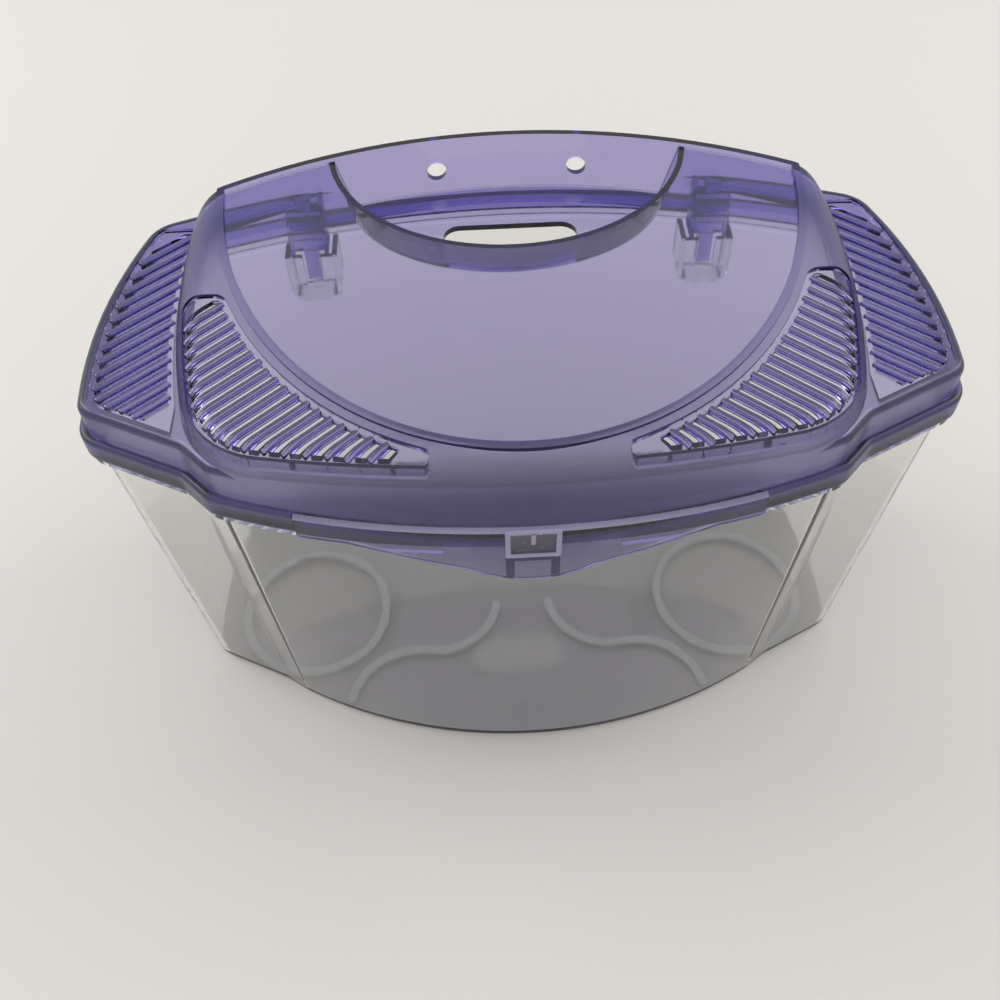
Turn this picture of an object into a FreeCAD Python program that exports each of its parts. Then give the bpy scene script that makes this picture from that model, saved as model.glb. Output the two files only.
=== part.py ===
import FreeCAD, Part
import math
import os

V = FreeCAD.Vector
os.makedirs("parts", exist_ok=True)

# Driving sizes of the tank and its lid in millimetres
WIDTH = 236.0
DEPTH = 134.1
SEAT_Z = 111.0
LID_RISE = 29.0
WALL = 2.2
LID_WALL = 2.0
TAB_PROUD = 1.5

# Plan of the lid's skirt, from the centre line outwards
FRONT = (TAB_PROUD - DEPTH) / 2
BACK = (TAB_PROUD + DEPTH) / 2
HALF = WIDTH / 2
BACK_R = 286.0
SIDE_R = 150.8
SIDE_Y = -10.0
CORNER_X = HALF - 37.5
BOW_DROP = 14.55
BOW_R = (CORNER_X ** 2 + BOW_DROP ** 2) / (2 * BOW_DROP)
NOTCH = (HALF - 30.0, FRONT + 22.4)
TIP = (HALF - 4.0, FRONT + 35.1)
ROUND = (8.0, 4.0, 9.0, 14.0)

# The tank narrows towards its foot
FOOT_DRAFT = 8.0
FOOT_FRONT = 2.6
FOOT_CORNER_X = CORNER_X - 6.2
FOOT_BOW_DROP = 20.16
FOOT_BOW_R = (FOOT_CORNER_X ** 2 + FOOT_BOW_DROP ** 2) / (2 * FOOT_BOW_DROP)
FOOT_NOTCH = (NOTCH[0] - 7.0, NOTCH[1] + 5.2)
FOOT_TIP = (TIP[0] - FOOT_DRAFT - 4.0, TIP[1] + 3.0)
FOOT_BACK = BACK - FOOT_DRAFT
FLOOR = 2.5
BODY_INSET = 3.0
FOOT_ROUND = 2.5
RIM_INSET = 0.8
RIM_T = 2.8

# Lid levels and walls
SKIRT_TOP = SEAT_Z + 6.5
SKIRT_ROUND = 1.4
LEDGE_T = 2.2
SKIRT_T = 2.4
UPPER_INSET = 2.2
WING_TOP = SEAT_Z + 16.0
WING_ROUND = 2.4

# Middle dome, whose flat top falls towards the front
LID_TOP = SEAT_Z + LID_RISE
TOP_FALL = 2.7
DOME_FRONT = FRONT + 6.0
DOME_BOW_R = 360.0
DOME_SIDE = HALF - 26.0
DOME_SIDE_R = 220.0
DOME_SIDE_Y = 15.0
DOME_BACK = BACK - 3.0
DOME_BACK_R = 180.0
DOME_CORNERS = (26.0, 18.0)
DOME_ROUND = 8.0
REAR_CREASE = 0.6
WING_BACK = DOME_BACK - 8.0

# Oval bead around the top window
RING_A = DOME_SIDE - 10.5
RING_Y = DOME_BACK - 19.8
RING_B = RING_Y - DOME_FRONT - 6.8
RING_W = 2.2
RING_UP = 0.8
PLATE_T = 1.8
PLATE_DROP = 0.4

# Feeding pocket and air-line holes
POCKET_A = 52.6
POCKET_B = 45.2
POCKET_Y = BACK - 8.2
POCKET_LEAN_A = 4.0
POCKET_LEAN_B = 9.6
POCKET_T = 1.6
POCKET_FLOOR = SEAT_Z + 12.0
POCKET_FLOOR_T = 1.8
SLOT_X = 40.0
SLOT_Y = 18.0
SLOT_MID_Y = BACK - 32.0
AIR_X = 21.2
AIR_R = 3.0
AIR_Z = SEAT_Z + 18.7

# Grilles
RIB_PITCH = 3.9
RIB_TURN = -40.0
SLIT = 1.9
WING_SLIT = 1.2
GRILLE_DROP = 0.8
GRILLE_T = 1.5
GRILLE_EDGE = 1.6
WING_EDGE = 2.8
CRESCENT_GAP = 4.4
CRESCENT_INSET = GRILLE_DROP + GRILLE_T + 0.1
CRESCENT_BACK = RING_Y - RING_B * 0.4416
CRESCENT_END = RING_A * 0.2945
CRESCENT_ROUND = (4.2, RING_B * 0.012)

# Rear tongues in their sockets
TONGUE_X = DOME_SIDE - 30.5
TONGUE_W = 4.4
TONGUE_T = 3.0
SOCKET_W = 16.0
SOCKET_T = 1.6
SOCKET_H = 17.6
SLOT_GAP = 0.45
FIN_SPAN = 10.3
FIN_T = 1.4
FIN_TOP = SEAT_Z + 18.0

# Front latch
TAB_X = 58.4
TAB_GAP = 0.3
TAB_T = TAB_PROUD + RIM_INSET - TAB_GAP
TAB_DROP = 12.8
TAB_TAPER = 46.0
LOBE_X = 19.0
LOBE_Z = 7.2
LOBE_R = 31.0
LOBE_FLARE = 24.0
CATCH_W = 13.5
CATCH_INSET = 2.2
CATCH_H = 3.2
RELIEF_X = 22.0
HOOK_LEG = 2.2
FAR = 400.0


def inset_of(piece, d):
    """Shift one outline piece inwards by d."""
    if piece[0] == "line":
        (px, py), (ux, uy) = piece[1], piece[2]
        return ("line", (px - uy * d, py + ux * d), (ux, uy))
    return ("arc", piece[1], piece[2] - d)


def meet(p, q, near):
    """Crossing of two outline pieces that lies nearest to a point."""
    if p[0] == "arc" and q[0] == "line":
        p, q = q, p
    if p[0] == "line" and q[0] == "line":
        (px, py), (ux, uy) = p[1], p[2]
        (qx, qy), (vx, vy) = q[1], q[2]
        t = ((qx - px) * vy - (qy - py) * vx) / (ux * vy - uy * vx)
        return (px + ux * t, py + uy * t)
    if p[0] == "line":
        (px, py), (ux, uy) = p[1], p[2]
        (cx, cy), r = q[1], q[2]
        t = (cx - px) * ux + (cy - py) * uy
        fx, fy = px + ux * t, py + uy * t
        h = math.sqrt(r * r - (cx - fx) ** 2 - (cy - fy) ** 2)
        ways = [(fx + ux * h, fy + uy * h), (fx - ux * h, fy - uy * h)]
    else:
        (ax, ay), ra = p[1], p[2]
        (bx, by), rb = q[1], q[2]
        d = math.hypot(bx - ax, by - ay)
        a = (ra * ra - rb * rb + d * d) / (2 * d)
        h = math.sqrt(ra * ra - a * a)
        mx, my = ax + (bx - ax) * a / d, ay + (by - ay) * a / d
        ox, oy = -(by - ay) * h / d, (bx - ax) * h / d
        ways = [(mx + ox, my + oy), (mx - ox, my - oy)]
    return min(ways, key=lambda w: math.hypot(w[0] - near[0], w[1] - near[1]))


def foot(piece, c):
    """Point of an outline piece closest to c."""
    if piece[0] == "line":
        (px, py), (ux, uy) = piece[1], piece[2]
        t = (c[0] - px) * ux + (c[1] - py) * uy
        return (px + ux * t, py + uy * t)
    (cx, cy), r = piece[1], piece[2]
    d = math.hypot(c[0] - cx, c[1] - cy)
    return (cx + (c[0] - cx) * r / d, cy + (c[1] - cy) * r / d)


def arc_edge(c, r, s, e, z):
    """Short arc about c from s to e at height z."""
    mx, my = (s[0] + e[0]) / 2 - c[0], (s[1] + e[1]) / 2 - c[1]
    k = r / math.hypot(mx, my)
    return Part.Arc(V(s[0], s[1], z), V(c[0] + mx * k, c[1] + my * k, z), V(e[0], e[1], z)).toShape()


def run_edge(piece, s, e, z):
    """Edge along an outline piece from s to e."""
    if piece[0] == "line":
        return Part.LineSegment(V(s[0], s[1], z), V(e[0], e[1], z)).toShape()
    return arc_edge(piece[1], piece[2], s, e, z)


def closed_wire(pieces, corners, radii, bends, z):
    """Mirror-symmetric closed wire from the pieces of its right half."""
    here = (0.0, pieces[0][1][1] - pieces[0][2])
    right = []
    for i, near in enumerate(corners):
        r = radii[i]
        c = meet(inset_of(pieces[i], bends[i] * r), inset_of(pieces[i + 1], bends[i] * r), near)
        t0 = foot(pieces[i], c)
        t1 = foot(pieces[i + 1], c)
        right.append(run_edge(pieces[i], here, t0, z))
        if r > 0:
            right.append(arc_edge(c, r, t0, t1, z))
        here = t1
    last = pieces[-1]
    right.append(run_edge(last, here, (0.0, last[1][1] + last[2]), z))
    left = [e.mirror(V(0, 0, 0), V(1, 0, 0)) for e in right]
    return Part.Wire(Part.__sortEdges__(right + left))


def line_piece(a, b):
    """Straight outline piece through a and b."""
    d = math.hypot(b[0] - a[0], b[1] - a[1])
    return ("line", a, ((b[0] - a[0]) / d, (b[1] - a[1]) / d))


def plan(front, bow_r, corner_x, notch, tip, half, back):
    """Pieces and corner points of a bow-fronted plan."""
    bow = ("arc", (0.0, front + bow_r), bow_r)
    corner = (corner_x, front + bow_r - math.sqrt(bow_r ** 2 - corner_x ** 2))
    side = ("arc", (half - SIDE_R, SIDE_Y), SIDE_R)
    rear = ("arc", (0.0, back - BACK_R), BACK_R)
    pieces = [bow, line_piece(corner, notch), line_piece(notch, tip), side, rear]
    return pieces, [corner, notch, tip, (half - 11.0, back - 20.0)]


LID_PLAN = plan(FRONT, BOW_R, CORNER_X, NOTCH, TIP, HALF, BACK)
FOOT_HALF = HALF - BODY_INSET - FOOT_DRAFT
FOOT_PLAN = plan(FRONT + FOOT_FRONT, FOOT_BOW_R, FOOT_CORNER_X, FOOT_NOTCH, FOOT_TIP, FOOT_HALF, FOOT_BACK)
BENDS = (1, -1, 1, 1)


def plan_wire(which, inset, z):
    """Wire of a plan moved inwards, with corners that stay concentric."""
    pieces = [inset_of(p, inset) for p in which[0]]
    radii = [max(r - b * inset, 1.0) for r, b in zip(ROUND, BENDS)]
    return closed_wire(pieces, which[1], radii, BENDS, z)


def prism(wire, height):
    """Upright solid on a wire."""
    return Part.Face(wire).extrude(V(0, 0, height))


def lid_prism(inset, z0, z1):
    """Upright solid on the lid's plan."""
    return prism(plan_wire(LID_PLAN, inset, z0), z1 - z0)


def box(x0, x1, y0, y1, z0, z1):
    """Box between two corners."""
    return Part.makeBox(x1 - x0, y1 - y0, z1 - z0, V(x0, y0, z0))


def flip(shape):
    """Mirror image across the middle plane."""
    return shape.mirror(V(0, 0, 0), V(1, 0, 0))


def save(node, shape):
    """Write one node's solids."""
    shape = shape.removeSplitter()
    shape.exportStep("parts/" + node + ".step")


def ellipse(a, b, y, z):
    """Closed ellipse on the middle plane, a wide and b deep, about y."""
    tips = [V(a, y, z), V(0, y + b, z)]
    if b > a:
        tips.reverse()
    return Part.Wire(Part.Ellipse(tips[0], tips[1], V(0, y, z)).toShape())


def eased_prism(inset, z0, z1, r):
    """Lid-shaped solid between two heights, its top edge rounded in steps."""
    sections = [plan_wire(LID_PLAN, inset, z0)]
    for step in range(7):
        a = math.radians(15.0 * step)
        sections.append(plan_wire(LID_PLAN, inset + r * (1 - math.cos(a)), z1 - r * (1 - math.sin(a))))
    return Part.makeLoft(sections, True, True)


def tip(shape):
    """Lean a level shape with the dome's top, about its rear edge."""
    shape.rotate(V(0, DOME_BACK, LID_TOP), V(1, 0, 0), TOP_FALL)
    return shape


def taper(inset, z0, z1):
    """Tank-shaped solid between two heights, moved inwards by inset."""
    low = plan_wire(FOOT_PLAN, inset, z0)
    high = plan_wire(LID_PLAN, BODY_INSET + inset, z1)
    return Part.makeLoft([low, high], True, True)


def tank_outside():
    """Outside of the tank, its foot edge rounded in steps."""
    sections = []
    for step in range(5):
        a = math.radians(22.5 * step)
        inset = FOOT_ROUND * (1 - math.sin(a))
        sections.append(plan_wire(FOOT_PLAN, inset, FOOT_ROUND * (1 - math.cos(a))))
    sections.append(plan_wire(LID_PLAN, BODY_INSET, SEAT_Z))
    return Part.makeLoft(sections, True, True)


# Tank: tapering wall, floor and a thicker rim that the lid rests on
cavity = taper(WALL, FLOOR, SEAT_Z + 1.0)
rim = lid_prism(RIM_INSET, SEAT_Z - RIM_T, SEAT_Z)
relief = box(-RELIEF_X, RELIEF_X, FRONT - 5, FRONT + 20, SEAT_Z - RIM_T - 1, SEAT_Z + 1)
rim = rim.cut(relief)
outside = tank_outside()
tank = outside.fuse(rim).cut(cavity)
save("tank_shell", tank)

# Catch block on the outside of the front wall
catch_z0 = SEAT_Z - CATCH_H
catch = box(-CATCH_W / 2, CATCH_W / 2, FRONT - 5, FRONT + 12, catch_z0, SEAT_Z)
catch = catch.common(lid_prism(CATCH_INSET, catch_z0 - 1, SEAT_Z + 1)).cut(outside)
save("front_catch", catch)

# Raised rings and waves on the floor
RIB_W = 2.8
RIB_H = 1.2
RIB_R = 24.0
RIB_X = HALF - 46.0
RIB_Y = FRONT + 54.1


def round_rib(x, y, r):
    """Ring-shaped rib on the floor."""
    outer = Part.makeCylinder(r + RIB_W / 2, RIB_H, V(x, y, FLOOR))
    return outer.cut(Part.makeCylinder(r - RIB_W / 2, RIB_H, V(x, y, FLOOR)))


def bend_rib(x, y, r, a0, a1):
    """Arc-shaped rib with round ends, from angle a0 to a1 in degrees."""
    outer = Part.makeCylinder(r + RIB_W / 2, RIB_H, V(0, 0, 0), V(0, 0, 1), a1 - a0)
    ring = outer.cut(Part.makeCylinder(r - RIB_W / 2, RIB_H, V(0, 0, 0), V(0, 0, 1), a1 - a0))
    for a in (0.0, math.radians(a1 - a0)):
        ring = ring.fuse(Part.makeCylinder(RIB_W / 2, RIB_H, V(r * math.cos(a), r * math.sin(a), 0)))
    ring.rotate(V(0, 0, 0), V(0, 0, 1), a0)
    ring.translate(V(x, y, FLOOR))
    return ring


ring_right = round_rib(RIB_X, RIB_Y, RIB_R)
save("floor_rings", Part.makeCompound([ring_right, flip(ring_right)]))

# Each wave is two arcs of opposite bend that meet in the middle
WAVE_A = (9.0, RIB_Y - 1.0)
WAVE_B = (58.0, RIB_Y - 35.0)
WAVE_R = 21.0
mid = ((WAVE_A[0] + WAVE_B[0]) / 2, (WAVE_A[1] + WAVE_B[1]) / 2)
lean = math.atan2(WAVE_B[1] - WAVE_A[1], WAVE_B[0] - WAVE_A[0])
half_run = math.hypot(WAVE_B[0] - WAVE_A[0], WAVE_B[1] - WAVE_A[1]) / 4
drop = math.sqrt(WAVE_R ** 2 - half_run ** 2)
open_angle = math.degrees(math.asin(half_run / WAVE_R))
wave = None
for side in (-1, 1):
    along = side * half_run
    cx = mid[0] + along * math.cos(lean) + side * drop * math.sin(lean)
    cy = mid[1] + along * math.sin(lean) - side * drop * math.cos(lean)
    face = math.degrees(lean) + side * 90.0
    arc = bend_rib(cx, cy, WAVE_R, face - open_angle, face + open_angle)
    wave = arc if wave is None else wave.fuse(arc)
save("floor_waves", Part.makeCompound([wave.removeSplitter(), flip(wave.removeSplitter())]))

# Lid: skirt, low wings and the taller middle dome
TALL = LID_RISE + 30.0
DOME_C = (0.0, DOME_BACK - DOME_BACK_R)
DOME_BOW = ("arc", (0.0, DOME_FRONT + DOME_BOW_R), DOME_BOW_R)
DOME_FLANK = ("arc", (DOME_SIDE - DOME_SIDE_R, DOME_SIDE_Y), DOME_SIDE_R)
DOME_REAR = ("arc", DOME_C, DOME_BACK_R)
RUN_ON = ("arc", (0.0, DOME_BACK + 60.0 - FAR), FAR)


def dome_prism(d, rear, rear_round, slack=0.0):
    """Upright solid on the dome's plan moved inwards by d, its front and sides out again by slack."""
    pieces = [inset_of(DOME_BOW, d - slack), inset_of(DOME_FLANK, d - slack), inset_of(rear, d)]
    corners = [(DOME_SIDE, DOME_FRONT), (DOME_SIDE, rear[1][1] + rear[2] - 20.0)]
    radii = [max(DOME_CORNERS[0] - d, 1.0), max(rear_round - d, 0.0)]
    return prism(closed_wire(pieces, corners, radii, (1, 1), SEAT_Z), TALL)


def dome_plan(d):
    """Upright solid on the dome's whole plan moved inwards by d."""
    return dome_prism(d, DOME_REAR, DOME_CORNERS[1])


def dome(d):
    """Middle dome moved inwards by d, its front and side shoulders rounded."""
    body = dome_prism(d, RUN_ON, 0.0).common(tip(box(-FAR, FAR, -FAR, FAR, -FAR, LID_TOP - d)))
    keep = []
    for e in body.Edges:
        at = e.valueAt((e.FirstParameter + e.LastParameter) / 2)
        level = max(v.Z for v in e.Vertexes) - min(v.Z for v in e.Vertexes) < LID_RISE / 2
        if at.z > SEAT_Z + 1 and at.y < DOME_BACK + 40 and level:
            keep.append(e)
    rear_cut = dome_prism(d, DOME_REAR, DOME_CORNERS[1], REAR_CREASE)
    return body.makeFillet(DOME_ROUND - d, keep).common(rear_cut)


def wing_part(solid, d):
    """Part of a lid-shaped solid that carries the wings, moved inwards by d."""
    front = Part.makeCylinder(DOME_BOW_R - d - 0.4, FAR, V(0, DOME_BOW[1][1], 0))
    return solid.common(front).common(box(-FAR, FAR, -FAR, WING_BACK - d, 0, FAR))


def oval(grow, low, high):
    """Oval solid in the dome's top, larger all round by grow, between two depths."""
    wire = ellipse(RING_A + grow, RING_B + grow, RING_Y, LID_TOP + low)
    return tip(prism(wire, high - low))


above = box(-FAR, FAR, -FAR, FAR, SKIRT_TOP - 0.5, FAR)
skirt = eased_prism(0.0, SEAT_Z, SKIRT_TOP, SKIRT_ROUND)
wings = wing_part(eased_prism(UPPER_INSET, SKIRT_TOP - 0.5, WING_TOP, WING_ROUND), 0.0)
under_skirt = lid_prism(SKIRT_T, SEAT_Z - 1, SKIRT_TOP - LEDGE_T)
under_wings = wing_part(lid_prism(UPPER_INSET + LID_WALL, SEAT_Z, WING_TOP - LID_WALL), LID_WALL)
bead = oval(RING_W, -DOME_ROUND, RING_UP).common(dome_plan(0.3)).common(above)
window_hole = oval(0.0, -LID_RISE / 2, LID_RISE / 2).common(dome_plan(LID_WALL))
lid = skirt.fuse(wings).fuse(dome(0.0).common(above)).fuse(bead)
lid = lid.cut(under_skirt).cut(under_wings).cut(dome(LID_WALL)).cut(window_hole)

# The latch tab sits in a shallow cut across the front of the skirt
tab_cut = box(-TAB_X - 0.5, TAB_X + 0.5, FRONT - 5, FRONT + 25, SEAT_Z - 5, SKIRT_TOP + 1)
lid = lid.cut(tab_cut.cut(lid_prism(RIM_INSET, SEAT_Z - 6, SKIRT_TOP + 2)))

# Air-line holes through the rear wall
for x in (-AIR_X, AIR_X):
    lid = lid.cut(Part.makeCylinder(AIR_R, 20, V(x, DOME_BACK - 12, AIR_Z), V(0, 1, 0)))


def crescent(edge):
    """Upright crescent-shaped solid on the right shoulder, smaller all round by edge."""
    moon = dome_plan(CRESCENT_INSET + edge).cut(oval(CRESCENT_GAP + edge, -LID_RISE, LID_RISE))
    return moon.common(box(CRESCENT_END + edge, FAR, -FAR, CRESCENT_BACK - edge, SEAT_Z, LID_TOP + 5))


def round_ends(moon):
    """Crescent with its rear and front corners rounded."""
    rear, front = CRESCENT_ROUND
    for radius, axis, place in ((rear, 1, CRESCENT_BACK), (front, 0, CRESCENT_END)):
        corners = [e for e in moon.Edges if all(abs(v.Point[axis] - place) < 0.01 for v in e.Vertexes)]
        moon = moon.makeFillet(radius, [e for e in corners if e.BoundBox.ZLength > LID_RISE / 2])
    return moon


def wing_panel(edge):
    """Upright solid on the right wing's grille outline, smaller all round by edge."""
    solid = lid_prism(UPPER_INSET + WING_EDGE + edge, SEAT_Z, LID_TOP)
    solid = solid.common(box(DOME_SIDE - 3.0 + edge, FAR, -FAR, BACK - 25.0 - edge, SEAT_Z, LID_TOP))
    return solid.cut(dome_plan(-WING_EDGE / 2 - edge))


def slits(panel, width):
    """Parallel slits across a panel, running right and forward."""
    reach = panel.BoundBox
    turn = math.radians(abs(RIB_TURN))
    count = int((reach.XLength * math.sin(turn) + reach.YLength * math.cos(turn)) / RIB_PITCH)
    length = reach.XLength + reach.YLength
    bars = []
    for i in range(count):
        bar = box(-length / 2, length / 2, -width / 2, width / 2, SEAT_Z, LID_TOP + 5)
        bar.translate(V(0, (i - (count - 1) / 2) * RIB_PITCH, 0))
        bar.rotate(V(0, 0, 0), V(0, 0, 1), RIB_TURN)
        bar.translate(V(reach.Center.x, reach.Center.y, 0))
        bars.append(bar)
    pieces = Part.makeCompound(bars).common(panel).Solids
    return Part.makeCompound([p for p in pieces if p.Volume > width * RIB_PITCH * LID_RISE])


moon = round_ends(crescent(0.0))
for opening in (moon, wing_panel(0.0)):
    lid = lid.cut(opening).cut(flip(opening))
save("lid_shell", lid)

# Grille ribs across each opening, within a narrow edge
skin = dome(GRILLE_DROP).cut(dome(GRILLE_DROP + GRILLE_T))
crescent_grille = moon.common(skin).cut(slits(crescent(GRILLE_EDGE), SLIT))
save("crescent_grille_right", crescent_grille)
save("crescent_grille_left", flip(crescent_grille))

wing_z = WING_TOP - GRILLE_DROP - GRILLE_T
wing_skin = box(0, FAR, -FAR, FAR, wing_z, wing_z + GRILLE_T)
wing_grille = wing_panel(0.0).common(wing_skin).cut(slits(wing_panel(GRILLE_EDGE), WING_SLIT))
save("wing_grille_right", wing_grille)
save("wing_grille_left", flip(wing_grille))

# Feeding pocket with sloping wall, floor and a wide slot
plate_top = LID_TOP - PLATE_DROP
inside_rear = Part.makeCylinder(DOME_BACK_R - LID_WALL, LID_RISE + 60, V(0, DOME_C[1], SEAT_Z - 40))
low_a = POCKET_A - POCKET_LEAN_A
low_b = POCKET_B - POCKET_LEAN_B
pocket_z = POCKET_FLOOR - POCKET_FLOOR_T
outer_low = ellipse(low_a, low_b, POCKET_Y, pocket_z)
outer_high = ellipse(POCKET_A, POCKET_B, POCKET_Y, plate_top)
pocket_out = tip(Part.makeLoft([outer_low, outer_high], True, True))
inner_low = ellipse(low_a - POCKET_T, low_b - POCKET_T, POCKET_Y, POCKET_FLOOR)
inner_high = ellipse(POCKET_A - POCKET_T, POCKET_B - POCKET_T, POCKET_Y, plate_top)
pocket = pocket_out.cut(tip(Part.makeLoft([inner_low, inner_high], True, True)))
slot_x = SLOT_X / 2
slot = box(-slot_x, slot_x, SLOT_MID_Y - SLOT_Y / 2, SLOT_MID_Y + SLOT_Y / 2, pocket_z - 5, POCKET_FLOOR + 5)
slot_ends = [e for e in slot.Edges if abs(e.Vertexes[0].Z - e.Vertexes[-1].Z) > 1]
slot = slot.makeFillet(5.0, slot_ends)
pocket = pocket.cut(slot).common(inside_rear).cut(lid)
save("feed_pocket", pocket)

# Oval top window around the pocket
plate = oval(0.0, -PLATE_DROP - PLATE_T, -PLATE_DROP).common(dome_plan(LID_WALL)).cut(pocket_out)
save("top_window", plate)

# Rear tongues: a blade between two fins, hanging inside the rear wall
tongue_y = DOME_C[1] + math.sqrt((DOME_BACK_R - LID_WALL) ** 2 - TONGUE_X ** 2)
blade_z = SEAT_Z - 11.0
web_z = SEAT_Z + 0.6
reach = tongue_y + 8.0
blade_y = tongue_y - TONGUE_T
tongue = box(TONGUE_X - TONGUE_W / 2, TONGUE_X + TONGUE_W / 2, blade_y, reach, blade_z, FIN_TOP)
web = box(TONGUE_X - FIN_SPAN / 2, TONGUE_X + FIN_SPAN / 2, tongue_y - 3.6, reach, web_z, FIN_TOP - 3.0)
tongue = tongue.fuse(web)
for x in (TONGUE_X - FIN_SPAN / 2, TONGUE_X + FIN_SPAN / 2):
    x0 = x - FIN_T / 2
    pts = [(reach, web_z), (tongue_y - 5.5, web_z), (tongue_y - 1.0, FIN_TOP), (reach, FIN_TOP)]
    pts.append(pts[0])
    fin = Part.Face(Part.makePolygon([V(x0, y, z) for y, z in pts])).extrude(V(FIN_T, 0, 0))
    tongue = tongue.fuse(fin)
tongue = tongue.common(inside_rear)
save("hinge_tongue_right", tongue)
save("hinge_tongue_left", flip(tongue))

# Clear sockets on the inside of the tank that take the tongues
socket_top = SEAT_Z - 0.4
socket_z = socket_top - SOCKET_H
hole_y = blade_y - 1.0
socket_y = hole_y - SOCKET_T
x0 = TONGUE_X - SOCKET_W / 2
x1 = TONGUE_X + SOCKET_W / 2
socket = box(x0, x1, socket_y, socket_y + 30, socket_z, socket_top)
soft = []
for e in socket.Edges:
    at = e.valueAt((e.FirstParameter + e.LastParameter) / 2)
    if abs(at.x - TONGUE_X) > SOCKET_W / 2 - 0.1 and at.z < socket_z + 0.1:
        soft.append(e)
socket = socket.makeFillet(5.0, soft)
socket = socket.common(cavity)
hole = box(x0 + SOCKET_T, x1 - SOCKET_T, hole_y, hole_y + 30, socket_z + SOCKET_T, SEAT_Z + 1)
gate_w = TONGUE_W / 2 + SLOT_GAP
gate = box(TONGUE_X - gate_w, TONGUE_X + gate_w, socket_y - 1, hole_y + 1, blade_z - 1.5, SEAT_Z + 1)
socket = socket.cut(hole).cut(gate)
save("rear_socket_right", socket)
save("rear_socket_left", flip(socket))

# Latch tab in front of the skirt, its lower edge tapering to a round lobe
tab_in = RIM_INSET - TAB_GAP
tab_top = SKIRT_TOP + 0.5
tab_low = SEAT_Z - TAB_DROP
lobe = ("arc", (0.0, tab_low + LOBE_R), LOBE_R)
slope = line_piece((LOBE_X, SEAT_Z - LOBE_Z), (TAB_TAPER, SEAT_Z))
level = line_piece((TAB_TAPER, SEAT_Z), (TAB_X, SEAT_Z))
end = line_piece((TAB_X, SEAT_Z), (TAB_X, tab_top))
crown = ("arc", (0.0, tab_top + TAB_DROP - FAR), FAR)
corners = [(LOBE_X, SEAT_Z - LOBE_Z), (TAB_TAPER, SEAT_Z), (TAB_X, SEAT_Z), (TAB_X, tab_top)]
radii = (LOBE_FLARE, 10.0, 1.5, 0.0)
lower_edge = closed_wire([lobe, slope, level, end, crown], corners, radii, (-1, -1, 1, 1), 0.0)
front_view = prism(lower_edge, 60.0)
front_view.rotate(V(0, 0, 0), V(1, 0, 0), 90)
front_view.translate(V(0, FRONT + 40, 0))
tab = lid_prism(tab_in - TAB_T, tab_low - 1, tab_top).cut(lid_prism(tab_in, tab_low - 2, tab_top + 1))
tab = tab.common(front_view)
save("latch_tab", tab)

# Arch-shaped hook on the back of the tab
hook_top = catch_z0 - TAB_GAP
hook_low = tab_low + 0.5
behind = lid_prism(CATCH_INSET - TAB_GAP, hook_low - 1, hook_top + 1)
band = lid_prism(tab_in, hook_low, hook_top).cut(behind)
half = CATCH_W / 2
hook = band.common(box(-half, half, FRONT - 10, FRONT + 20, hook_low, hook_top))
leg_x = half - HOOK_LEG
hook = hook.cut(box(-leg_x, leg_x, FRONT - 10, FRONT + 20, hook_low - 1, hook_top - HOOK_LEG))
save("latch_hook", hook)
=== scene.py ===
import logging
import math
from dataclasses import dataclass
from enum import Enum
from typing import Any

import bpy
from mathutils import Matrix, Vector


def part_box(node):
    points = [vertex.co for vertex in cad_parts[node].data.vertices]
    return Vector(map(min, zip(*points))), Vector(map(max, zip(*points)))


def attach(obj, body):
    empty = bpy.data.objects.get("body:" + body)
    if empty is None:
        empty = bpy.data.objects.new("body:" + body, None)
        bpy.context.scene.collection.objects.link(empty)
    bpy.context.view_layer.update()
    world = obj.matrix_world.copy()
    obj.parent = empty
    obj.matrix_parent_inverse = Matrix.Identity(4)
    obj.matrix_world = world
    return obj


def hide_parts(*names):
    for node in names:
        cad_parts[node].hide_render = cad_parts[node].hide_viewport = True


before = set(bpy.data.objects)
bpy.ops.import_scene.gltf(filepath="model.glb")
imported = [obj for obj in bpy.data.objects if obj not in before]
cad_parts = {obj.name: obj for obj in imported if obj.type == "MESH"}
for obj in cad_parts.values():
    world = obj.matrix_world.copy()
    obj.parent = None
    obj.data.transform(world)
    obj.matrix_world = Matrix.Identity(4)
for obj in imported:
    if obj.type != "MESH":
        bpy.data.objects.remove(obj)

logging.basicConfig(level=logging.INFO, format="%(message)s")
log = logging.getLogger("fish_tank")

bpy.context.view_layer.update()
MM = 0.001


class Body(Enum):
    """Rigid bodies that the pieces ride on."""

    TANK = "tank"
    LID = "lid"
    LATCH = "latch"


class Slot(Enum):
    """Material slots of the record."""

    CLEAR = "clear_plastic"
    PURPLE = "purple_plastic"


def linear(hex_colour: str) -> tuple[float, float, float, float]:
    """Turn an sRGB hex colour into linear RGBA.

    Args:
        hex_colour: Six hex digits.

    Returns:
        Linear red, green and blue, with an alpha of 1.
    """
    parts = [int(hex_colour[i:i + 2], 16) / 255 for i in (0, 2, 4)]
    return (*[p / 12.92 if p <= 0.04045 else ((p + 0.055) / 1.055) ** 2.4 for p in parts], 1.0)


def add_node(
    tree: bpy.types.NodeTree, kind: str, settings: dict[str, Any], links: dict[Any, Any]
) -> bpy.types.Node:
    """Add one node with its settings, socket values and links.

    Args:
        tree: Node tree that gets the node.
        kind: Blender's type name of the node.
        settings: Values of the node's own properties.
        links: Socket name or number to a plain value or to the socket that feeds it.

    Returns:
        The new node.
    """
    node = tree.nodes.new(kind)
    for name, value in settings.items():
        setattr(node, name, value)
    for name, value in links.items():
        if isinstance(value, bpy.types.NodeSocket):
            tree.links.new(value, node.inputs[name])
        else:
            node.inputs[name].default_value = value
    return node


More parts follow.
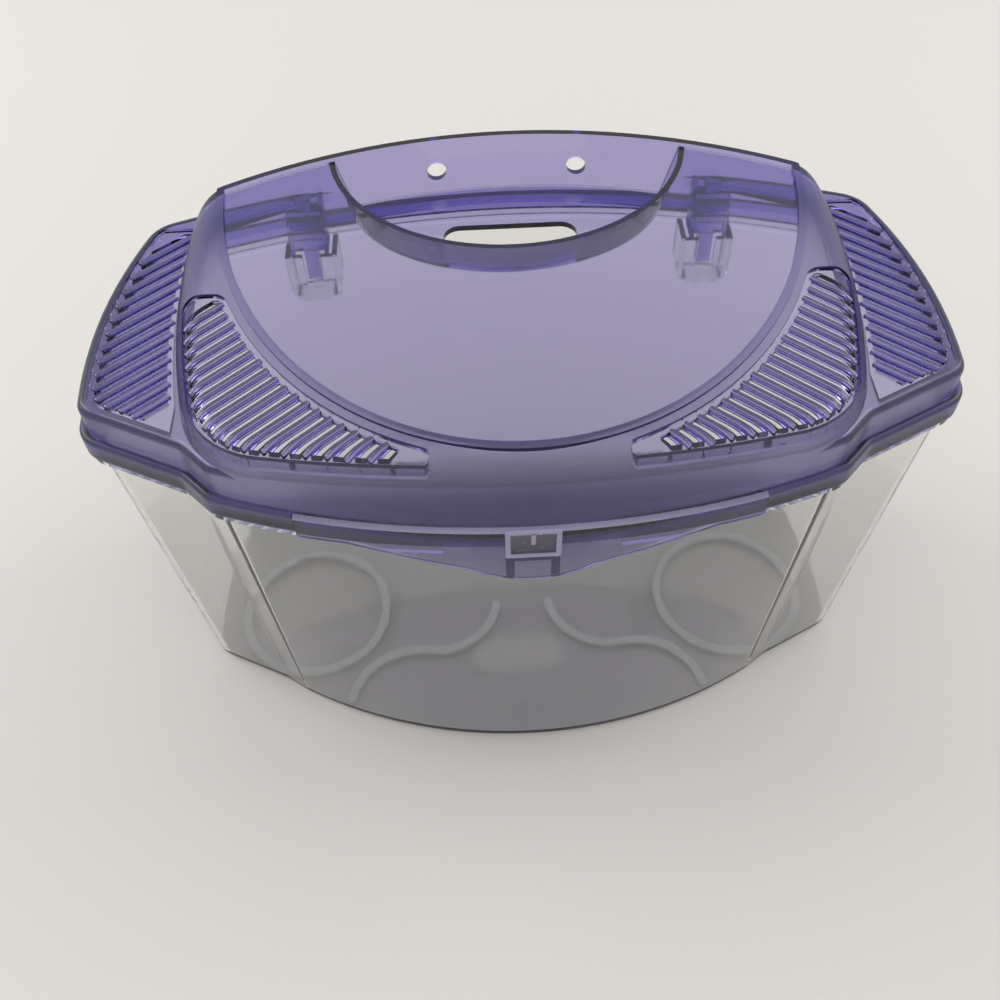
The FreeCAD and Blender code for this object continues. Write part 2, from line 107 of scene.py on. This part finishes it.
@dataclass(frozen=True)
class MouldedPolystyrene:
    """Injection-moulded polystyrene that light passes through.

    A polished steel mould leaves it glossy, with faint flow waves a few centimetres long and hairline
    rub marks from handling. A spark-eroded mould leaves a fine grain that blurs what lies behind and
    spreads highlights into a satin glow.
    """

    name: str
    skin: str
    absorb: str
    density: float
    rough: float
    rub: float
    grain: float = 0.0
    polish_from_mm: float = 0.0
    polish_y_mm: float = 0.0
    polish_band_mm: float = 0.4
    wave_mm: float = 38.0
    wave_depth_mm: float = 0.4
    wave_strength: float = 0.12
    rub_mm: float = 1.6
    rub_stretch: float = 0.12
    rub_turn: float = 0.5
    rub_low: float = 0.35
    rub_high: float = 0.75
    grain_mm: float = 0.9
    grain_depth_mm: float = 0.05
    ior: float = 1.56
    polished: float = 0.03
    clear: float = 1.0

    def material(self) -> bpy.types.Material:
        """Build the node material.

        Returns:
            The finished material.
        """
        mat = bpy.data.materials.new(self.name)
        mat.use_nodes = True
        tree = mat.node_tree
        tree.nodes.clear()
        place = add_node(tree, "ShaderNodeTexCoord", {}, {}).outputs["Object"]
        # Rub marks run one way, as a cloth wipes
        wipe = add_node(
            tree, "ShaderNodeMapping", {},
            {"Vector": place, "Scale": (1.0, self.rub_stretch, 1.0), "Rotation": (0.0, 0.0, self.rub_turn)},
        )
        rub = add_node(
            tree, "ShaderNodeTexNoise", {},
            {"Vector": wipe.outputs[0], "Scale": 1 / (self.rub_mm * MM), "Detail": 3.0},
        )
        rough = add_node(
            tree, "ShaderNodeMapRange", {},
            {"Value": rub.outputs["Fac"], "From Min": self.rub_low, "From Max": self.rub_high,
             "To Min": self.rough, "To Max": self.rough + self.rub},
        ).outputs[0]
        wave = add_node(
            tree, "ShaderNodeTexNoise", {},
            {"Vector": place, "Scale": 1 / (self.wave_mm * MM), "Detail": 1.0},
        )
        normal = add_node(
            tree, "ShaderNodeBump", {},
            {"Height": wave.outputs["Fac"], "Strength": self.wave_strength,
             "Distance": self.wave_depth_mm * MM},
        ).outputs[0]
        if self.grain:
            # The real grain is about 0.1 mm, drawn coarser here so that it shows
            pits = add_node(
                tree, "ShaderNodeTexNoise", {},
                {"Vector": place, "Scale": 1 / (self.grain_mm * MM), "Detail": 2.0},
            )
            normal = add_node(
                tree, "ShaderNodeBump", {},
                {"Height": pits.outputs["Fac"], "Strength": self.grain,
                 "Distance": self.grain_depth_mm * MM, "Normal": normal},
            ).outputs[0]
        if self.polish_from_mm:
            # The rear wall was moulded against polished steel.
            # A circle about the centre of its arc parts the two finishes.
            flat = add_node(tree, "ShaderNodeMapping", {}, {"Vector": place, "Scale": (1.0, 1.0, 0.0)})
            out = add_node(
                tree, "ShaderNodeVectorMath", {"operation": "DISTANCE"},
                {0: flat.outputs[0], 1: (0.0, self.polish_y_mm * MM, 0.0)},
            )
            rough = add_node(
                tree, "ShaderNodeMapRange", {},
                {"Value": out.outputs["Value"],
                 "From Min": (self.polish_from_mm - self.polish_band_mm) * MM,
                 "From Max": self.polish_from_mm * MM, "To Min": rough, "To Max": self.polished},
            ).outputs[0]
        skin = add_node(
            tree, "ShaderNodeBsdfPrincipled", {},
            {"Base Color": linear(self.skin), "Roughness": rough, "IOR": self.ior,
             "Transmission Weight": self.clear, "Normal": normal},
        )
        inside = add_node(
            tree, "ShaderNodeVolumeAbsorption", {}, {"Color": linear(self.absorb), "Density": self.density}
        )
        add_node(
            tree, "ShaderNodeOutputMaterial", {},
            {"Surface": skin.outputs[0], "Volume": inside.outputs[0]},
        )
        return mat


# Tank: colourless and glossy, with a faint grey-green only along its thick edges
CLEAR_STYRENE = MouldedPolystyrene(
    "clear polystyrene, polished mould", "f6f7f5", "dfe6e0", 6.0, 0.02, 0.06
)
# Floor ribs: the grain scatters light, so they stand out whitish from the clear floor
FROSTED_STYRENE = MouldedPolystyrene(
    "clear polystyrene, grained mould", "f6f7f5", "dfe6e0", 6.0, 0.3, 0.1, 0.3, clear=0.5
)
# Window, pocket and grilles: glossy, lilac where thin and deep violet through their edges
PURPLE_STYRENE = MouldedPolystyrene(
    "purple polystyrene, polished mould", "f3effb", "644bd2", 320.0, 0.03, 0.06
)
# Hook: so thick that hardly any light comes through
DEEP_STYRENE = MouldedPolystyrene(
    "purple polystyrene, thick section", "1c0c80", "4a24c8", 600.0, 0.05, 0.06, clear=0.1
)
# Painted highlight: a pale, rough lilac on the up-facing faces of the tab and on the latch frame, standing
# in for the light they catch
PAINTED_HIGHLIGHT_STYRENE = MouldedPolystyrene(
    "purple polystyrene, painted highlight", "c2bbdc", "8f7fd8", 60.0, 0.2, 0.1, clear=0.5
)
# Lid shell: a satin outside with soft highlights, and a polished rear wall
SATIN_STYRENE = MouldedPolystyrene(
    "purple polystyrene, grained mould", "f1ecfa", "644bd2", 320.0, 0.3, 0.08, 0.25, 177.2, -115.2
)


@dataclass
class Dressing:
    """CAD nodes of one kind of moulding and the finish they wear."""

    nodes: tuple[str, ...]
    finish: MouldedPolystyrene

    def dress(self) -> bpy.types.Material:
        """Give every node its finish.

        Returns:
            The material, for new pieces that wear it too.
        """
        mat = self.finish.material()
        for name in self.nodes:
            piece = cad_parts[name]
            piece.data.materials.clear()
            piece.data.materials.append(mat)
            log.info("dressed %s in %s", name, mat.name)
        return mat


@dataclass
class SeamedMoulding:
    """Copy of a moulded CAD feature, drawn in by a hair so that no face coincides with a neighbour's."""

    name: str
    node: str
    body: Body = Body.LID
    round_mm: float = 0.0
    seam_mm: float = 0.06
    weld_mm: float = 0.002
    flat_deg: float = 8.0
    sharp_deg: float = 55.0
    round_steps: int = 3
    smooth_deg: float = 30.0
    upward: float = 0.4

    def build(self) -> bpy.types.Object:
        """Copy the node, weld it, draw it in and round its edges.

        Returns:
            The finished copy.
        """
        bpy.ops.object.select_all(action="DESELECT")
        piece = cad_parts[self.node].copy()
        piece.data = piece.data.copy()
        piece.parent = None
        for key in [k for k in piece.keys() if k.startswith("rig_")]:
            del piece[key]
        bpy.context.scene.collection.objects.link(piece)
        piece.name = self.name
        piece.select_set(True)
        bpy.context.view_layer.objects.active = piece
        bpy.ops.mesh.customdata_custom_splitnormals_clear()
        low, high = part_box(self.node)
        size = high - low
        factors = [1.0 - 2.0 * self.seam_mm * MM / size.x, 1.0 - 2.0 * self.seam_mm * MM / size.y, 1.0]
        bpy.ops.object.mode_set(mode="EDIT")
        bpy.ops.mesh.select_all(action="SELECT")
        bpy.ops.mesh.remove_doubles(threshold=self.weld_mm * MM)
        bpy.ops.transform.resize(value=factors, center_override=(low + high) / 2)
        if self.round_mm:
            bpy.ops.mesh.tris_convert_to_quads(
                face_threshold=math.radians(self.flat_deg), shape_threshold=math.pi
            )
        bpy.ops.object.mode_set(mode="OBJECT")
        if self.round_mm:
            edge = piece.modifiers.new("mould radius", "BEVEL")
            edge.width = self.round_mm * MM
            edge.segments = self.round_steps
            edge.limit_method = "ANGLE"
            edge.angle_limit = math.radians(self.sharp_deg)
            bpy.ops.object.modifier_apply(modifier=edge.name)
        bpy.ops.object.shade_smooth_by_angle(angle=math.radians(self.smooth_deg))
        return piece

    def dress(self, mat: bpy.types.Material, edge: bpy.types.Material | None = None) -> None:
        """Build the copy, give it its finish and let it stand for its node.

        Args:
            mat: Material of the whole copy.
            edge: Material of the faces that look up, if it differs: a pale finish that paints a highlight
                on them.
        """
        piece = self.build()
        piece.data.materials.clear()
        piece.data.materials.append(mat)
        if edge:
            piece.data.materials.append(edge)
            # Faces that look up wear the second material, a painted highlight along the top
            for face in piece.data.polygons:
                face.material_index = int(face.normal.z > self.upward)
        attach(piece, self.body.value)
        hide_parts(self.node)
        log.info("built %s with %d faces", piece.name, len(piece.data.polygons))


@dataclass
class GrilleRibs:
    """Round-topped ribs along the bars of one grille, and their mirror image on the left."""

    name: str
    node: str
    first_mm: float
    count: int
    half_width_mm: float
    half_height_mm: float
    proud_mm: float = 0.55
    pitch_mm: float = 3.9
    turn_deg: float = 40.0
    end_mm: float = 0.7
    step_mm: float = 2.5
    sides: int = 14
    probe_mm: float = 0.5
    probe_from_mm: float = -60.0
    probe_count: int = 400
    probe_height_mm: float = 200.0
    shortest_mm: float = 0.6
    round_mm: float = 0.45
    round_steps: int = 2
    sharp_deg: float = 60.0
    smooth_deg: float = 50.0

    def trace(self, offset_mm: float) -> list[Vector]:
        """Follow one bar across the grille's upper face.

        Args:
            offset_mm: How far the bar's middle line lies from the origin.

        Returns:
            Points on the upper face along the bar, in metres.
        """
        turn = math.radians(self.turn_deg)
        along = Vector((math.cos(turn), -math.sin(turn), 0.0))
        across = Vector((math.sin(turn), math.cos(turn), 0.0))
        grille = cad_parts[self.node]
        above = Vector((0.0, 0.0, self.probe_height_mm * MM))
        down = Vector((0.0, 0.0, -1.0))
        hits: list[tuple[float, Vector]] = []
        for i in range(self.probe_count):
            t = (i * self.probe_mm + self.probe_from_mm) * MM
            hit, spot, _, _ = grille.ray_cast(across * offset_mm * MM + along * t + above, down)
            if hit:
                hits.append((t, spot))
        if not hits:
            return []
        low = hits[0][0] + self.end_mm * MM
        high = hits[-1][0] - self.end_mm * MM
        spots = [s for t, s in hits if low <= t <= high]
        path = spots[::max(1, round(self.step_mm / self.probe_mm))]
        if len(spots) > 1 and (spots[-1] - path[-1]).length > self.shortest_mm * MM:
            path.append(spots[-1])
        return path

    def rib(self, path: list[Vector]) -> bpy.types.Object:
        """Draw one rib out along its path from an upright oval.

        Args:
            path: Points on the grille's upper face.

        Returns:
            The rib.
        """
        turn = math.radians(self.turn_deg)
        sink = Vector((0.0, 0.0, (self.proud_mm - self.half_height_mm) * MM))
        bpy.ops.object.select_all(action="DESELECT")
        bpy.ops.mesh.primitive_circle_add(
            vertices=self.sides, radius=self.half_width_mm * MM, fill_type="NGON",
            location=path[0] + sink, rotation=(math.pi / 2, 0.0, math.pi / 2 - turn),
        )
        rib = bpy.context.active_object
        rib.scale = (1.0, self.half_height_mm / self.half_width_mm, 1.0)
        bpy.ops.object.transform_apply(location=True, rotation=True, scale=True)
        bpy.ops.object.mode_set(mode="EDIT")
        bpy.ops.mesh.select_all(action="SELECT")
        for start, stop in zip(path, path[1:]):
            bpy.ops.mesh.extrude_region_move(TRANSFORM_OT_translate={"value": stop - start})
        bpy.ops.mesh.select_all(action="SELECT")
        bpy.ops.mesh.normals_make_consistent(inside=False)
        bpy.ops.object.mode_set(mode="OBJECT")
        return rib

    def build(self) -> list[bpy.types.Object]:
        """Make the right ribs and mirror them for the left.

        Returns:
            The right and the left set.
        """
        ribs = []
        for i in range(self.count):
            path = self.trace(self.first_mm + i * self.pitch_mm)
            if len(path) > 1:
                ribs.append(self.rib(path))
        bpy.ops.object.select_all(action="DESELECT")
        for rib in ribs:
            rib.select_set(True)
        bpy.context.view_layer.objects.active = ribs[0]
        bpy.ops.object.join()
        right = bpy.context.active_object
        right.name = self.name + "_right"
        edge = right.modifiers.new("round ends", "BEVEL")
        edge.width = self.round_mm * MM
        edge.segments = self.round_steps
        edge.limit_method = "ANGLE"
        edge.angle_limit = math.radians(self.sharp_deg)
        bpy.ops.object.modifier_apply(modifier=edge.name)
        bpy.ops.object.shade_smooth_by_angle(angle=math.radians(self.smooth_deg))
        bpy.ops.object.duplicate()
        left = bpy.context.active_object
        left.name = self.name + "_left"
        left.scale = (-1.0, 1.0, 1.0)
        bpy.ops.object.transform_apply(location=True, rotation=True, scale=True)
        bpy.ops.object.mode_set(mode="EDIT")
        bpy.ops.mesh.select_all(action="SELECT")
        bpy.ops.mesh.normals_make_consistent(inside=False)
        bpy.ops.object.mode_set(mode="OBJECT")
        return [right, left]

    def dress(self, mat: bpy.types.Material) -> None:
        """Build the ribs, give them their finish and fasten them to the lid.

        Args:
            mat: Material of the ribs.
        """
        for piece in self.build():
            piece.data.materials.clear()
            piece.data.materials.append(mat)
            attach(piece, Body.LID.value)
            log.info("built %s with %d faces", piece.name, len(piece.data.polygons))


@dataclass
class LatchFrame:
    """Raised square frame with a short middle rib on the face of the latch tab, above the hook."""

    width_mm: float = 13.8
    low_mm: float = 108.6
    high_mm: float = 119.2
    face_y_mm: float = -67.8
    depth_mm: float = 0.9
    proud_mm: float = 0.55
    band_mm: float = 1.3
    floor_mm: float = 0.35
    rib_width_mm: float = 1.2
    rib_share: float = 0.45
    round_mm: float = 0.17
    round_steps: int = 3
    weld_mm: float = 0.005
    facing: float = 0.9
    smooth_deg: float = 40.0

    def block(self, x_mm: float, low_mm: float, high_mm: float) -> bpy.types.Object:
        """Add one upright block that stands on the tab's face.

        Args:
            x_mm: Half its width.
            low_mm: Height of its lower end.
            high_mm: Height of its upper end.

        Returns:
            The block.
        """
        bpy.ops.object.select_all(action="DESELECT")
        middle = self.face_y_mm - self.proud_mm + self.depth_mm / 2
        bpy.ops.mesh.primitive_cube_add(size=1.0, location=(0.0, middle * MM, (low_mm + high_mm) / 2 * MM))
        block = bpy.context.active_object
        block.scale = (2 * x_mm * MM, self.depth_mm * MM, (high_mm - low_mm) * MM)
        bpy.ops.object.transform_apply(location=True, rotation=True, scale=True)
        return block

    def build(self) -> bpy.types.Object:
        """Make the frame and its rib.

        Returns:
            The finished frame.
        """
        frame_block = self.block(self.width_mm / 2, self.low_mm, self.high_mm)
        bpy.ops.object.mode_set(mode="EDIT")
        bpy.ops.mesh.select_all(action="DESELECT")
        bpy.ops.object.mode_set(mode="OBJECT")
        for face in frame_block.data.polygons:
            face.select = face.normal.y < -self.facing
        bpy.ops.object.mode_set(mode="EDIT")
        bpy.ops.mesh.select_mode(type="FACE")
        bpy.ops.mesh.inset(thickness=self.band_mm * MM)
        bpy.ops.mesh.extrude_region_move(TRANSFORM_OT_translate={"value": (0.0, self.floor_mm * MM, 0.0)})
        bpy.ops.object.mode_set(mode="OBJECT")
        inner_high = self.high_mm - self.band_mm / 2
        rib_low = inner_high - (self.high_mm - self.low_mm) * self.rib_share
        rib = self.block(self.rib_width_mm / 2, rib_low, inner_high)
        for piece in (frame_block, rib):
            bpy.ops.object.select_all(action="DESELECT")
            piece.select_set(True)
            bpy.context.view_layer.objects.active = piece
            edge = piece.modifiers.new("mould radius", "BEVEL")
            edge.width = self.round_mm * MM
            edge.segments = self.round_steps
            bpy.ops.object.modifier_apply(modifier=edge.name)
        frame_block.select_set(True)
        bpy.context.view_layer.objects.active = frame_block
        bpy.ops.object.join()
        bpy.ops.object.mode_set(mode="EDIT")
        bpy.ops.mesh.select_all(action="SELECT")
        bpy.ops.mesh.remove_doubles(threshold=self.weld_mm * MM)
        bpy.ops.object.mode_set(mode="OBJECT")
        bpy.ops.object.shade_smooth_by_angle(angle=math.radians(self.smooth_deg))
        frame_block.name = "latch_frame"
        return frame_block

    def dress(self, mat: bpy.types.Material, edge: bpy.types.Material) -> None:
        """Build the frame, give it its finishes and fasten it to the latch.

        Args:
            mat: Material of the sunk field.
            edge: Material of the raised frame and the rib, a pale finish that paints a highlight on them.
        """
        piece = self.build()
        piece.data.materials.clear()
        piece.data.materials.append(edge)
        piece.data.materials.append(mat)
        # Only the sunk field stays glossy; every other face wears the pale finish, a painted highlight on
        # the frame and the rib
        deep = (self.face_y_mm - self.proud_mm + self.floor_mm / 2) * MM
        for face in piece.data.polygons:
            face.material_index = int(face.normal.y < -self.facing and face.center.y > deep)
        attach(piece, Body.LATCH.value)
        log.info("built %s with %d faces", piece.name, len(piece.data.polygons))


@dataclass
class Studio:
    """Pale floor, soft lamps and an even sky."""

    floor_size: float = 6.0
    floor_drop_mm: float = 0.3
    floor_colour: str = "dcd8d3"
    floor_rough: float = 0.7
    sky_colour: str = "ffffff"
    sky: float = 0.85
    aim: tuple[float, float, float] = (0.0, 0.0, 0.08)

    def build(self) -> None:
        """Make the floor, the sky and the lamps."""
        bpy.ops.object.select_all(action="DESELECT")
        bpy.ops.mesh.primitive_plane_add(size=self.floor_size, location=(0, 0, -self.floor_drop_mm * MM))
        floor = bpy.context.active_object
        floor.name = "floor"
        mat = bpy.data.materials.new("pale matt floor")
        mat.use_nodes = True
        shader = mat.node_tree.nodes["Principled BSDF"]
        shader.inputs["Base Color"].default_value = linear(self.floor_colour)
        shader.inputs["Roughness"].default_value = self.floor_rough
        floor.data.materials.append(mat)
        world = bpy.data.worlds.new("sky")
        bpy.context.scene.world = world
        world.use_nodes = True
        back = world.node_tree.nodes["Background"]
        back.inputs["Color"].default_value = linear(self.sky_colour)
        back.inputs["Strength"].default_value = self.sky
        self.lamp("left window", (-0.95, 0.35, 0.75), 0.6, 4.0)
        self.lamp("right window", (0.9, 0.25, 0.7), 0.5, 2.5)

    def lamp(self, name: str, at: tuple[float, float, float], size: float, power: float) -> None:
        """Add one square lamp that faces the tank.

        Args:
            name: Name of the lamp.
            at: Its place in metres.
            size: Length of its side in metres.
            power: Its power in watts.
        """
        data = bpy.data.lights.new(name, "AREA")
        data.size = size
        data.energy = power
        lamp = bpy.data.objects.new(name, data)
        lamp.location = at
        lamp.rotation_euler = (Vector(self.aim) - Vector(at)).to_track_quat("-Z", "Y").to_euler()
        bpy.context.scene.collection.objects.link(lamp)


@dataclass
class PhotoCamera:
    """Camera at the viewing angle of the photograph."""

    at: tuple[float, float, float] = (-0.011, -0.2205, 0.327)
    pitch: float = 52.0
    yaw: float = 1.2
    roll: float = -1.8
    focal: float = 1.08
    sensor_mm: float = 36.0
    nearest: float = 0.01

    def build(self) -> None:
        """Make the camera and put it in the scene."""
        data = bpy.data.cameras.new("camera")
        data.sensor_width = self.sensor_mm
        data.lens = self.sensor_mm * self.focal
        data.clip_start = self.nearest
        camera = bpy.data.objects.new("camera", data)
        turn = Matrix.Rotation(math.radians(-self.yaw), 4, "Z")
        tilt = Matrix.Rotation(math.radians(90.0 - self.pitch), 4, "X")
        lean = Matrix.Rotation(math.radians(self.roll), 4, "Z")
        camera.matrix_world = Matrix.Translation(self.at) @ turn @ tilt @ lean
        bpy.context.scene.collection.objects.link(camera)
        bpy.context.scene.camera = camera


TANK_NODES = ("tank_shell", "front_catch", "rear_socket_left", "rear_socket_right")
FLOOR_NODES = ("floor_rings", "floor_waves")
SATIN_NODES = ("lid_shell",)
GLOSS_NODES = (
    "top_window", "feed_pocket", "crescent_grille_left", "crescent_grille_right", "wing_grille_left",
    "wing_grille_right", "hinge_tongue_left", "hinge_tongue_right", "latch_tab",
)


def main() -> None:
    """Dress the tank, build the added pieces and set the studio."""
    bpy.context.scene.view_settings.view_transform = "Standard"
    Dressing(TANK_NODES, CLEAR_STYRENE).dress()
    Dressing(FLOOR_NODES, FROSTED_STYRENE).dress()
    Dressing(SATIN_NODES, SATIN_STYRENE).dress()
    gloss = Dressing(GLOSS_NODES, PURPLE_STYRENE).dress()
    Dressing(("latch_hook",), DEEP_STYRENE).dress()
    SeamedMoulding("clear_window", "top_window").dress(gloss)
    SeamedMoulding("food_pocket", "feed_pocket").dress(gloss)
    # Pale finish that paints a highlight on the tab's up-facing faces and on the latch frame
    painted_highlight_finish = PAINTED_HIGHLIGHT_STYRENE.material()
    SeamedMoulding("latch_plate", "latch_tab", Body.LATCH, 0.8).dress(gloss, painted_highlight_finish)
    LatchFrame().dress(gloss, painted_highlight_finish)
    GrilleRibs("crescent_ribs", "crescent_grille_right", -17.46, 18, 0.95, 0.9).dress(gloss)
    GrilleRibs("wing_ribs", "wing_grille_right", 39.89, 14, 1.3, 0.9).dress(gloss)
    Studio().build()
    PhotoCamera().build()


if __name__ == "__main__":
    main()
